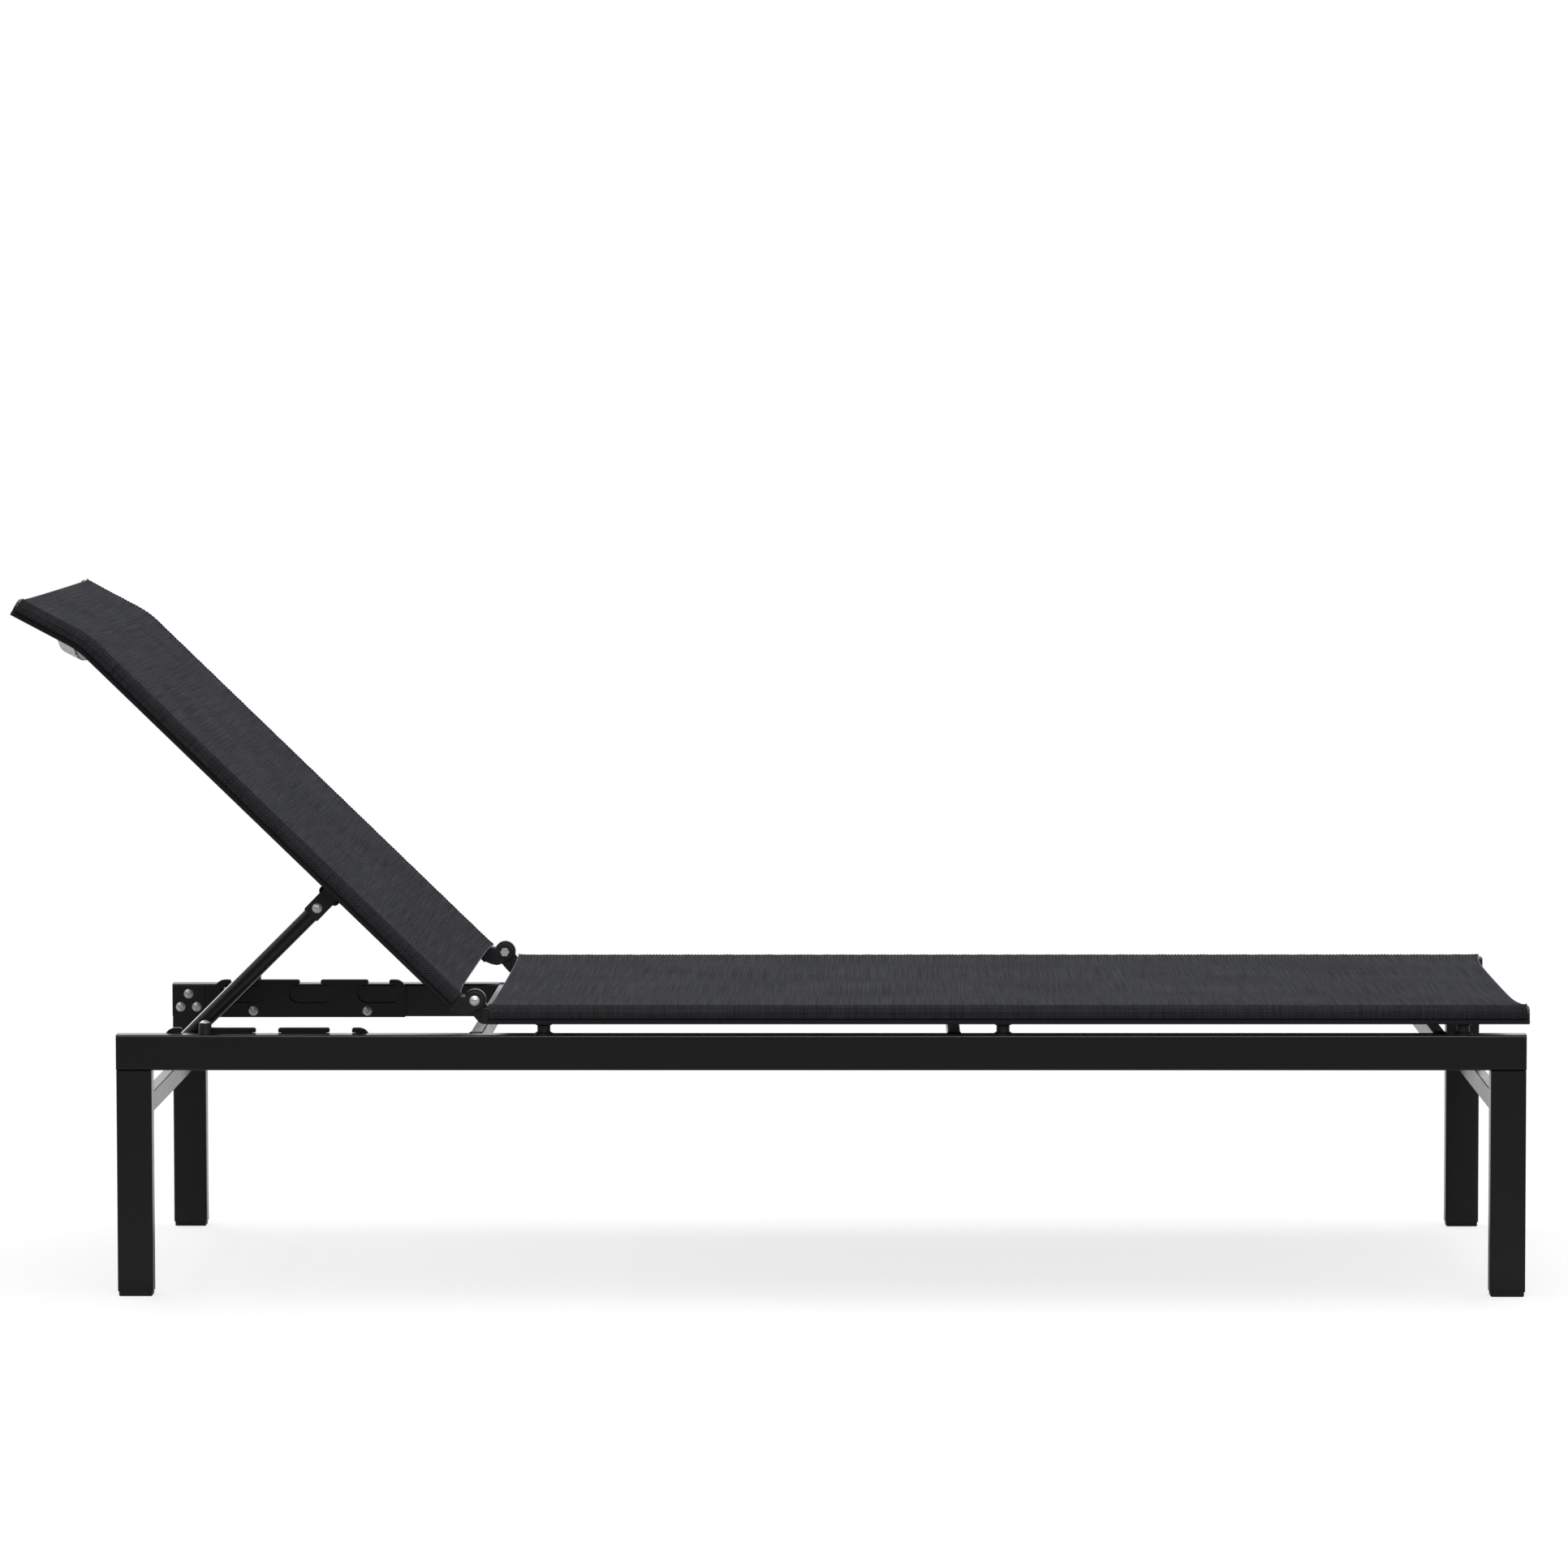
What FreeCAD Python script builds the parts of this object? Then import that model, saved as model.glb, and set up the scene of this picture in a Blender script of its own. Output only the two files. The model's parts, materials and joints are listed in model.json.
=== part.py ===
"""Reclining sun lounger: aluminium frame, two textile slings, and a backrest held by a prop bail in a rack.

While it is modelled, x = 0 is the outer face of the head-end legs and +X points to the foot end, y = 0 is
the middle plane and z = 0 is the ground. Everything is then shifted along X, so that the exported frame
has its origin on the ground under the middle of the overall box. "right" is the -Y side.
"""
import FreeCAD, Part
import math
import os

from FreeCAD import Vector

# ---- overall sizes, mm ----
FRAME_LENGTH = 1702.0            # over the legs, head end to foot end
FRAME_WIDTH = 672.0              # over the side rails
RAIL_TOP = 318.0                 # height of the side rails' top face
BACKREST_ANGLE = 44.2            # backrest at rest, measured from flat, degrees

# ---- side rails, legs and cross members ----
RAIL_HEIGHT = 43.0
RAIL_WIDTH = 28.0
TUBE_WALL = 1.5
TUBE_CORNER = 3.0
LEG_DEPTH = 43.0                 # along X
LEG_WIDTH = 28.0                 # along Y
SHADOW_GAP = 0.5                 # between a leg's top and its rail
RAIL_CAP = 1.2                   # end cap thickness outside the rail
PLUG_DEPTH = 14.0                # how far plugs go into tubes
RAIL_PLUG_DEPTH = 5.0            # short, to stay clear of the bracket screws
PLUG_CLEARANCE = 0.2
GLIDE_HEIGHT = 6.0
GLIDE_INSET = 1.2                # a glide is this much smaller than its leg all round
BAR_WIDTH = 15.0                 # cross members, along X
BAR_HEIGHT = 25.0
STRETCHER_TOP = 232.5            # height of the leg stretchers' top face
BAR_CORNER = 2.0
MIDDLE_BAR_X = 1013.0
FOOT_BAR_TO_END = 102.0           # foot bar's middle to the foot-end legs' outer face

# ---- corner brackets ----
BRACKET_THICK = 3.0
BRACKET_WIDTH = 42.0             # on the rail
BRACKET_LEG_WIDTH = 37.0         # on the leg
BRACKET_LOW = 190.0              # height of the lower end
BRACKET_DROP = 1.5               # below the rail's top face
BRACKET_NECK = 2.2                # start of the taper above the rail's lower face
NECK_SLOPE = 2.0                  # fall of the taper per unit of width
BRACKET_CORNER = 1.5
BRACKET_SCREWS = ((-10.5, 13.1), (10.5, 13.1), (0.0, 30.1))   # from leg's middle, rail's lower face

# ---- prop rack ----
RACK_LENGTH = 250.0
RACK_MIDDLE_X = 180.5
RACK_THICK = 6.0
RACK_TOP = 324.0
RACK_BOTTOM = 274.8
RACK_CORNER = 14.0
SLOT_PITCH = 89.5
SLOT_LENGTH = 56.0
SLOT_HEIGHT = 25.0
SLOT_MOUTH = 27.3
LIP = 6.0                        # material above a slot
LIP_ROUND = 0.42                 # tip radius as a share of the lip
TIP_SHARE = 0.8                  # largest share of the lip's flat underside that its tip radius takes
RACK_SCREW_SPAN = 148.5
RACK_SCREW_RISE = 8.2            # above the rack's lower edge

# ---- fasteners ----
SCREW_RADIUS = 3.0
SCREW_HOLE = 3.1
HEAD_RADIUS = 6.2
HEAD_HEIGHT = 3.1
SOCKET_ACROSS = 4.0
SOCKET_DEPTH = 1.8
NUT_ACROSS = 10.0
NUT_HEIGHT = 5.0
SCREW_REACH = 8.0                # shank beyond the fastened plate
RUNNING_CLEARANCE = 0.05         # radial, pivot bolts in their lugs

# ---- bumpers and seat spacers ----
BUMPER_X = 107.0
BUMPER_RADIUS = 8.3
BUMPER_TOP_RADIUS = 7.4
BUMPER_HEIGHT = 13.6
SPACER_TO_HINGE = 83.0            # first pair of spacers, from the hinge axis
SPACER_TO_END = 75.5              # last pair, from the foot-end legs' outer face
SPACER_HEIGHT = 13.2
SPACER_RADIUS = 7.9
SPACER_FLARE = 11.4
FLARE_HEIGHT = 3.0
ACCESS_HOLE = 7.5                # in the rail's lower wall, for the spacer bolts

# ---- sling extrusions ----
EXT_WIDTH = 34.0
EXT_HEIGHT = 20.8
EXT_WALL = 1.6
EXT_CORNER = 1.0
EXT_SHOULDER = 10.0              # radius that the fabric runs over
EXT_INNER_CORNER = 3.0
STRIP_HEIGHT = 5.2               # bare strip below the keder slot
STRIP_PROUD = 1.4                # the strip stands this far outside the fabric's seat
SLOT_GAP = 2.0                   # keder slot
CHANNEL_RADIUS = 3.3             # keder channel
CHANNEL_INSET = 4.8              # channel centre inside the fabric's seat
CHANNEL_RISE = 2.8               # channel centre above the strip
KEDER_RADIUS = 3.0
CAVITY_TO_CHANNEL = 2.0
END_CAP = 3.4

# ---- fabric ----
SLING_THICK = 1.0
SLING_CLEARANCE = 0.3
SLING_INSET = 0.6                # from an extrusion's end
TAIL_REACH = 1.8                 # how far the sling goes into the keder slot

# ---- hinge between seat and backrest ----
HINGE_X = 434.0
HINGE_RISE = 28.1                # above the extrusions' lower face
HINGE_TO_EXT = 16.6              # hinge axis to an extrusion's end, along it
SEAT_LUG_RADIUS = 13.4
BACK_LUG_RADIUS = 10.8
SEAT_LUG_THICK = 10.0
BACK_LUG_THICK = 7.0
LUG_GAP = 0.35
LUG_CLEARANCE = 0.4              # between a lug's rim and the other knuckle
KNUCKLE_INSET = 1.5              # knuckle body inside the extrusion's sides
KNUCKLE_SHOULDER = 9.0           # top of the body below the hinge axis
KNUCKLE_BLOCK = 9.5              # full-width body starts this far from the hinge axis
# lower fronts of the lugs, as points from the hinge axis: the seat's, then the backrest's
SEAT_NOSE = ((-6.6, -11.5), (-5.6, -14.6), (1.9, -23.4), (4.4, -26.1), (7.0, -HINGE_RISE))
BACK_BELLY = ((-7.5, -7.5), (-8.1, -11.5), (-6.9, -16.2), (-4.0, -20.1), (1.5, -23.6), (7.8, -26.2),
              (12.5, -27.6))
KNUCKLE_PLUG = 26.0
WEB_ANGLE = 15.2                  # where the web's back meets the lug, below level
WEB_REACH = 0.99                  # that place, as a share of the lug's radius

# ---- backrest ----
BEND_CORNER = 637.1              # where the two lower faces would meet, from the hinge axis
HEAD_ANGLE = 16.2
BEND_RADIUS = 90.0               # at the lower face
HEAD_LENGTH = 88.0               # from the bend corner to the extrusion's end
HEAD_BAR_PLACE = 20.4            # headrest bar's middle from the bend corner
HEAD_BAR_WIDTH = 25.5
HEAD_BAR_THICK = 13.0
HEAD_BAR_BOW = 36.0              # its middle below its ends
HEAD_BAR_RISE = 0.5              # its ends above the extrusions' lower face
HEAD_BAR_CORNER = 2.5

# ---- prop ----
PIVOT_ALONG = 214.0              # pivot from the hinge axis, along the backrest
PIVOT_BELOW = 56.0               # pivot below the hinge axis, square to the backrest
PROP_RADIUS = 9.65
PROP_WALL = 1.5
ROD_IN_SLOT = -16.0              # rod's axis from the first slot's middle
ROD_LIFT = 0.3                   # rod above the slot's floor
ROD_SIDE_GAP = 0.4               # between a rod end and the rack's face
ROD_PLUG = 2.5
ROD_PLUG_ROUND = 0.6             # rim radius as a share of the plug's thickness
WELD_GAP = 0.05
ARM_MIDDLE = 50.0                # arm's axis inside the frame's side
EAR_WIDTH = 22.0
EAR_THICK = 2.5
EAR_GAP = 0.3                    # between an ear and the arm
EAR_BELOW = 12.0                 # ear's lower end below the pivot
EAR_CORNER = 2.0
FLANGE_REACH = 22.0              # bracket's flange under the extrusion
PROP_BAR_WIDTH = 30.0
PROP_BAR_HEIGHT = 13.0

# ---- values that follow ----
HALF_WIDTH = FRAME_WIDTH / 2
RAIL_MIDDLE = HALF_WIDTH - RAIL_WIDTH / 2
RAIL_INSIDE = HALF_WIDTH - RAIL_WIDTH
RAIL_BOTTOM = RAIL_TOP - RAIL_HEIGHT
BRACKET_FACE = RAIL_INSIDE - BRACKET_THICK
RACK_FACE = RAIL_INSIDE - RACK_THICK
SLOT_TOP = RACK_TOP - LIP
SLOT_MIDDLE_Z = SLOT_TOP - SLOT_HEIGHT / 2
EXT_INSIDE = RAIL_MIDDLE - EXT_WIDTH / 2
EXT_OUTSIDE = RAIL_MIDDLE + EXT_WIDTH / 2
FABRIC_SEAT = EXT_OUTSIDE - STRIP_PROUD
EXT_BOTTOM = RAIL_TOP + SPACER_HEIGHT
HINGE_Z = EXT_BOTTOM + HINGE_RISE
HINGE = Vector(HINGE_X, 0, HINGE_Z)
BEND_TANGENT = BEND_RADIUS * math.tan(math.radians(HEAD_ANGLE / 2))
BEND_START = BEND_CORNER - BEND_TANGENT
HEAD_RUN = HEAD_LENGTH - BEND_TANGENT
ARM_Y = HALF_WIDTH - ARM_MIDDLE
EAR_FACE = ARM_Y + PROP_RADIUS + EAR_GAP
BAR_UNDERSIDE = -HINGE_RISE - PROP_BAR_HEIGHT
Y_AXIS = Vector(0, 1, 0)
FOOT_BAR_X = FRAME_LENGTH - FOOT_BAR_TO_END
SPACER_ENDS = (HINGE_X + SPACER_TO_HINGE, FRAME_LENGTH - SPACER_TO_END)
SPACER_XS = (SPACER_ENDS[0], sum(SPACER_ENDS) / 2, SPACER_ENDS[1])
SIDES = {"right": -1, "left": 1}

shapes = {}


# ---- small helpers ----
def box(x0, x1, y0, y1, z0, z1):
    low = Vector(min(x0, x1), min(y0, y1), min(z0, z1))
    return Part.makeBox(abs(x1 - x0), abs(y1 - y0), abs(z1 - z0), low)


def rod_y(radius, x, z, y0, y1):
    return Part.makeCylinder(radius, abs(y1 - y0), Vector(x, min(y0, y1), z), Y_AXIS)


def rod_z(radius, x, y, z0, z1):
    return Part.makeCylinder(radius, z1 - z0, Vector(x, y, z0))


def edges_along(shape, direction):
    """Straight edges of a shape that run along a direction."""
    found = []
    for edge in shape.Edges:
        if isinstance(edge.Curve, Part.Line) and abs(edge.Curve.Direction.dot(direction)) > 0.999:
            found.append(edge)
    return found


def rounded(shape, direction, radius):
    return shape.makeFillet(radius, edges_along(shape, direction))


def square_tube(outer, direction, wall=TUBE_WALL, corner=TUBE_CORNER):
    """Rectangular tube whose outside is the given box, open at the ends along a direction."""
    b = outer.BoundBox
    keep = Vector(1, 1, 1) - direction
    low = Vector(b.XMin, b.YMin, b.ZMin) + keep * wall
    size = Vector(b.XLength, b.YLength, b.ZLength) - keep * (2 * wall)
    inner = Part.makeBox(size.x, size.y, size.z, low)
    return rounded(outer, direction, corner).cut(rounded(inner, direction, corner - wall))


def revolve_z(points, x, y):
    """Solid of revolution about a vertical line, from (radius, height) points."""
    wire = Part.makePolygon([Vector(r, 0, z) for r, z in points + points[:1]])
    solid = Part.Face(wire).revolve(Vector(0, 0, 0), Vector(0, 0, 1), 360)
    solid.translate(Vector(x, y, 0))
    return solid


def line(a, b):
    return Part.LineSegment(a, b).toShape()


def turned(shape, base, axis, angle):
    copy = shape.copy()
    copy.rotate(base, axis, angle)
    return copy


def moved(shape, x=0.0, y=0.0, z=0.0):
    copy = shape.copy()
    copy.translate(Vector(x, y, z))
    return copy


def button_screw(reach):
    """Button-head screw along +Z: head on top of z = 0, shank down to -reach."""
    dome = (HEAD_RADIUS ** 2 + HEAD_HEIGHT ** 2) / (2 * HEAD_HEIGHT)
    head = Part.makeSphere(dome, Vector(0, 0, HEAD_HEIGHT - dome))
    head = head.common(Part.makeCylinder(HEAD_RADIUS, HEAD_HEIGHT))
    corner = SOCKET_ACROSS / math.sqrt(3)
    angles = [math.radians(60 * i) for i in range(7)]
    base = HEAD_HEIGHT - SOCKET_DEPTH
    hexagon = Part.makePolygon([Vector(corner * math.cos(a), corner * math.sin(a), base) for a in angles])
    socket = Part.Face(hexagon).extrude(Vector(0, 0, SOCKET_DEPTH))
    shank = Part.makeCylinder(SCREW_RADIUS, reach, Vector(0, 0, -reach))
    return head.cut(socket).fuse(shank).removeSplitter()


def screw_facing(side, x, face_y, z, reach):
    """Screw whose head looks along side * Y, seated on the plane y = face_y."""
    screw = turned(button_screw(reach), Vector(), Vector(1, 0, 0), -90 * side)
    return moved(screw, x, face_y, z)


def nut_y(side, x, face_y, z):
    """Hexagon nut that lies against y = face_y and reaches along side * Y."""
    corner = NUT_ACROSS / math.sqrt(3)
    points = []
    for i in range(7):
        angle = math.radians(60 * i)
        points.append(Vector(x + corner * math.cos(angle), face_y, z + corner * math.sin(angle)))
    nut = Part.Face(Part.makePolygon(points)).extrude(Vector(0, side * NUT_HEIGHT, 0))
    return nut.cut(rod_y(SCREW_HOLE, x, z, face_y, face_y + side * NUT_HEIGHT))


def group(solids):
    return Part.makeCompound(solids)


# ---- frame: rails, legs, cross members ----
def side_rail(side):
    """Side rail with holes for its brackets, rack, bumper and seat spacers."""
    inner, y, outer = side * RAIL_INSIDE, side * RAIL_MIDDLE, side * HALF_WIDTH
    bar = box(RAIL_CAP, FRAME_LENGTH - RAIL_CAP, inner, outer, RAIL_BOTTOM, RAIL_TOP)
    rail = square_tube(bar, Vector(1, 0, 0))
    places = bracket_screw_places() + rack_screw_places()
    holes = [rod_y(SCREW_HOLE, x, z, inner, y) for x, z in places]
    holes += [rod_z(SCREW_HOLE, x, y, RAIL_TOP - SCREW_REACH, RAIL_TOP) for x in SPACER_XS + (BUMPER_X,)]
    holes += [rod_z(ACCESS_HOLE, x, y, RAIL_BOTTOM, RAIL_BOTTOM + SCREW_REACH) for x in SPACER_XS]
    return rail.cut(holes)


def rail_end_caps():
    caps = []
    inset = TUBE_WALL + PLUG_CLEARANCE
    for side in SIDES.values():
        inner, outer = side * RAIL_INSIDE, side * HALF_WIDTH
        for x, inward in ((0, 1), (FRAME_LENGTH, -1)):
            plate = box(x, x + inward * RAIL_CAP, inner, outer, RAIL_BOTTOM, RAIL_TOP)
            plug = box(x + inward * RAIL_CAP, x + inward * (RAIL_CAP + RAIL_PLUG_DEPTH),
                       side * (RAIL_INSIDE + inset), side * (HALF_WIDTH - inset),
                       RAIL_BOTTOM + inset, RAIL_TOP - inset)
            plate = rounded(plate, Vector(1, 0, 0), TUBE_CORNER)
            caps.append(plate.fuse(rounded(plug, Vector(1, 0, 0), TUBE_CORNER - TUBE_WALL)))
    return group(caps)


def leg_start(end):
    return 0.0 if end == "head" else FRAME_LENGTH - LEG_DEPTH


def leg(end, side):
    x = leg_start(end)
    outer = box(x, x + LEG_DEPTH, side * (HALF_WIDTH - LEG_WIDTH), side * HALF_WIDTH,
                GLIDE_HEIGHT, RAIL_BOTTOM - SHADOW_GAP)
    return square_tube(outer, Vector(0, 0, 1))


def glide(end, side):
    """Plastic foot: a tapered pad below the leg and a plug inside it."""
    x = leg_start(end) + LEG_DEPTH / 2
    y = side * (HALF_WIDTH - LEG_WIDTH / 2)
    a, b = LEG_DEPTH / 2 - GLIDE_INSET, LEG_WIDTH / 2 - GLIDE_INSET
    pad = rounded(box(x - a, x + a, y - b, y + b, 0, GLIDE_HEIGHT), Vector(0, 0, 1), TUBE_CORNER)
    low = [edge for edge in pad.Edges if edge.BoundBox.ZMax < GLIDE_HEIGHT / 10]
    pad = pad.makeFillet(GLIDE_HEIGHT / 4, low)
    inset = TUBE_WALL + PLUG_CLEARANCE
    a, b = LEG_DEPTH / 2 - inset, LEG_WIDTH / 2 - inset
    plug = box(x - a, x + a, y - b, y + b, GLIDE_HEIGHT, GLIDE_HEIGHT + PLUG_DEPTH)
    return pad.fuse(rounded(plug, Vector(0, 0, 1), TUBE_CORNER - TUBE_WALL))


def cross_tube(x, half_length, top):
    outer = box(x - BAR_WIDTH / 2, x + BAR_WIDTH / 2, -half_length, half_length, top - BAR_HEIGHT, top)
    return square_tube(outer, Y_AXIS, corner=BAR_CORNER)


# ---- corner brackets ----
def bracket_screw_places():
    places = []
    for x in (LEG_DEPTH / 2, FRAME_LENGTH - LEG_DEPTH / 2):
        places += [(x + dx, RAIL_BOTTOM + dz) for dx, dz in BRACKET_SCREWS]
    return places


def corner_bracket(end, side):
    """Flat plate that ties a leg to its rail, on their inner faces."""
    middle = leg_start(end) + LEG_DEPTH / 2
    wide, narrow = BRACKET_WIDTH / 2, BRACKET_LEG_WIDTH / 2
    neck = RAIL_BOTTOM + BRACKET_NECK
    low_neck = neck - NECK_SLOPE * (wide - narrow)
    outline = [(-wide, RAIL_TOP - BRACKET_DROP), (wide, RAIL_TOP - BRACKET_DROP), (wide, neck),
               (narrow, low_neck), (narrow, BRACKET_LOW), (-narrow, BRACKET_LOW),
               (-narrow, low_neck), (-wide, neck), (-wide, RAIL_TOP - BRACKET_DROP)]
    wire = Part.makePolygon([Vector(middle + x, side * BRACKET_FACE, z) for x, z in outline])
    plate = Part.Face(wire).extrude(Vector(0, side * BRACKET_THICK, 0))
    plate = rounded(plate, Y_AXIS, BRACKET_CORNER)
    face, back = side * BRACKET_FACE, side * RAIL_INSIDE
    return plate.cut([rod_y(SCREW_HOLE, x, z, face, back) for x, z in bracket_screw_places()])


def inner_screws(places, face, thick):
    screws = []
    for side in SIDES.values():
        screws += [screw_facing(-side, x, side * face, z, thick + SCREW_REACH) for x, z in places]
    return group(screws)


# ---- prop rack ----
def slot_xs():
    return [RACK_MIDDLE_X + i * SLOT_PITCH for i in (-1, 0, 1)]


def rack_screw_places():
    z = RACK_BOTTOM + RACK_SCREW_RISE
    return [(RACK_MIDDLE_X + i * RACK_SCREW_SPAN / 2, z) for i in (-1, 1)]


def mouth_edges(plate, height):
    """Edges along Y where the slots' mouths meet a given height."""
    found = []
    for edge in edges_along(plate, Y_AXIS):
        near = [abs(abs(edge.BoundBox.XMin - x) - SLOT_MOUTH / 2) < LIP / 100 for x in slot_xs()]
        if any(near) and abs(edge.BoundBox.ZMin - height) < LIP / 100:
            found.append(edge)
    return found


def rack(side):
    """Plate with three slots, each a rounded pocket with a narrower mouth at the top."""
    x0, x1 = RACK_MIDDLE_X - RACK_LENGTH / 2, RACK_MIDDLE_X + RACK_LENGTH / 2
    ya, yb = side * RACK_FACE, side * RAIL_INSIDE
    plate = box(x0, x1, ya, yb, RACK_BOTTOM, RACK_TOP)
    for height, radius in ((RACK_TOP, RACK_CORNER), (RACK_BOTTOM, TUBE_CORNER)):
        corners = [edge for edge in edges_along(plate, Y_AXIS) if abs(edge.BoundBox.ZMin - height) < LIP / 10]
        plate = plate.makeFillet(radius, corners)
    for x in slot_xs():
        end = SLOT_LENGTH / 2 - SLOT_HEIGHT / 2
        pocket = box(x - end, x + end, ya, yb, SLOT_TOP - SLOT_HEIGHT, SLOT_TOP)
        pocket = pocket.fuse([rod_y(SLOT_HEIGHT / 2, x + s * end, SLOT_MIDDLE_Z, ya, yb) for s in (-1, 1)])
        mouth = box(x - SLOT_MOUTH / 2, x + SLOT_MOUTH / 2, ya, yb, SLOT_MIDDLE_Z, RACK_TOP)
        plate = plate.cut(pocket.fuse(mouth).removeSplitter())
    flat = (SLOT_LENGTH - SLOT_HEIGHT - SLOT_MOUTH) / 2
    for height, radius in ((RACK_TOP, LIP * LIP_ROUND), (SLOT_TOP, min(LIP * LIP_ROUND, flat * TIP_SHARE))):
        plate = plate.makeFillet(radius, mouth_edges(plate, height))
    return plate.cut([rod_y(SCREW_HOLE, x, z, ya, yb) for x, z in rack_screw_places()])


# ---- bumpers and seat spacers ----
def bumper(side):
    """Tapered post on the rail that the lowered backrest lies on."""
    profile = [(0, RAIL_TOP), (BUMPER_RADIUS, RAIL_TOP), (BUMPER_TOP_RADIUS, RAIL_TOP + BUMPER_HEIGHT),
               (0, RAIL_TOP + BUMPER_HEIGHT)]
    post = revolve_z(profile, BUMPER_X, side * RAIL_MIDDLE)
    return post.cut(rod_z(SCREW_HOLE, BUMPER_X, side * RAIL_MIDDLE, RAIL_TOP, RAIL_TOP + BUMPER_HEIGHT))


def bumper_screws():
    screw = moved(button_screw(BUMPER_HEIGHT + SCREW_REACH), BUMPER_X, 0, RAIL_TOP + BUMPER_HEIGHT)
    return group([moved(screw, y=side * RAIL_MIDDLE) for side in SIDES.values()])


def seat_spacers():
    low, high = RAIL_TOP, EXT_BOTTOM
    profile = [(SCREW_HOLE, low), (SPACER_FLARE, low), (SPACER_FLARE, low + FLARE_HEIGHT / 3),
               (SPACER_RADIUS, low + FLARE_HEIGHT), (SPACER_RADIUS, high - FLARE_HEIGHT),
               (SPACER_FLARE, high - FLARE_HEIGHT / 3), (SPACER_FLARE, high), (SCREW_HOLE, high)]
    return group([revolve_z(profile, x, side * RAIL_MIDDLE) for side in SIDES.values() for x in SPACER_XS])


def spacer_bolts():
    """Bolts whose heads sit inside the rail, under its top wall, and whose shanks end in the extrusion."""
    reach = TUBE_WALL + SPACER_HEIGHT + SCREW_REACH
    bolt = turned(button_screw(reach), Vector(), Vector(1, 0, 0), 180)
    z = RAIL_TOP - TUBE_WALL
    return group([moved(bolt, x, side * RAIL_MIDDLE, z) for side in SIDES.values() for x in SPACER_XS])


# ---- sling extrusions: section in (y, z), z = 0 at the hinge axis, outward along side * Y ----
def section_point(side, x, outward, z):
    return Vector(x, side * outward, z)


def section_arc(side, x, centre, radius, start, end):
    """Arc in a section, with angles in degrees: 0 is outward and 90 is up."""
    points = []
    for angle in (start, (start + end) / 2, end):
        turn = math.radians(angle)
        outward, z = centre[0] + radius * math.cos(turn), centre[1] + radius * math.sin(turn)
        points.append(section_point(side, x, outward, z))
    return Part.Arc(*points).toShape()


def extrusion_outline(side, x):
    """Outer outline of an extrusion's section."""
    low, high = -HINGE_RISE, -HINGE_RISE + EXT_HEIGHT
    strip = low + STRIP_HEIGHT
    r, k = EXT_SHOULDER, EXT_INNER_CORNER

    def p(outward, z):
        return section_point(side, x, outward, z)

    edges = [
        line(p(EXT_INSIDE + EXT_CORNER, low), p(EXT_OUTSIDE - EXT_CORNER, low)),
        line(p(EXT_OUTSIDE - EXT_CORNER, low), p(EXT_OUTSIDE, low + EXT_CORNER)),
        line(p(EXT_OUTSIDE, low + EXT_CORNER), p(EXT_OUTSIDE, strip)),
        line(p(EXT_OUTSIDE, strip), p(FABRIC_SEAT, strip)),
        line(p(FABRIC_SEAT, strip), p(FABRIC_SEAT, high - r)),
        section_arc(side, x, (FABRIC_SEAT - r, high - r), r, 0, 90),
        line(p(FABRIC_SEAT - r, high), p(EXT_INSIDE + k, high)),
        section_arc(side, x, (EXT_INSIDE + k, high - k), k, 90, 180),
        line(p(EXT_INSIDE, high - k), p(EXT_INSIDE, low + EXT_CORNER)),
        line(p(EXT_INSIDE, low + EXT_CORNER), p(EXT_INSIDE + EXT_CORNER, low)),
    ]
    return Part.Face(Part.Wire(edges))


def rectangle(side, x, o0, o1, z0, z1):
    corners = ((o0, z0), (o1, z0), (o1, z1), (o0, z1), (o0, z0))
    return Part.Face(Part.makePolygon([section_point(side, x, o, z) for o, z in corners]))


def channel_centre(side, x):
    return section_point(side, x, FABRIC_SEAT - CHANNEL_INSET, -HINGE_RISE + STRIP_HEIGHT + CHANNEL_RISE)


def disc(centre, radius):
    return Part.Face(Part.Wire(Part.makeCircle(radius, centre, Vector(1, 0, 0))))


def cavity(side, x, clearance=0.0):
    """Hollow of an extrusion, or the plug that fits in it when a clearance is given."""
    wall = EXT_WALL + clearance
    end = FABRIC_SEAT - CHANNEL_INSET - CHANNEL_RADIUS - CAVITY_TO_CHANNEL - clearance
    return rectangle(side, x, EXT_INSIDE + wall, end, -HINGE_RISE + wall, -HINGE_RISE + EXT_HEIGHT - wall)


def extrusion_section(side, x):
    strip = -HINGE_RISE + STRIP_HEIGHT
    slot = rectangle(side, x, FABRIC_SEAT - CHANNEL_INSET, EXT_OUTSIDE, strip, strip + SLOT_GAP)
    holes = [cavity(side, x), disc(channel_centre(side, x), CHANNEL_RADIUS), slot]
    return extrusion_outline(side, x).cut(holes).Faces[0]


def keder_section(side, x):
    return disc(channel_centre(side, x), KEDER_RADIUS)


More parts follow.
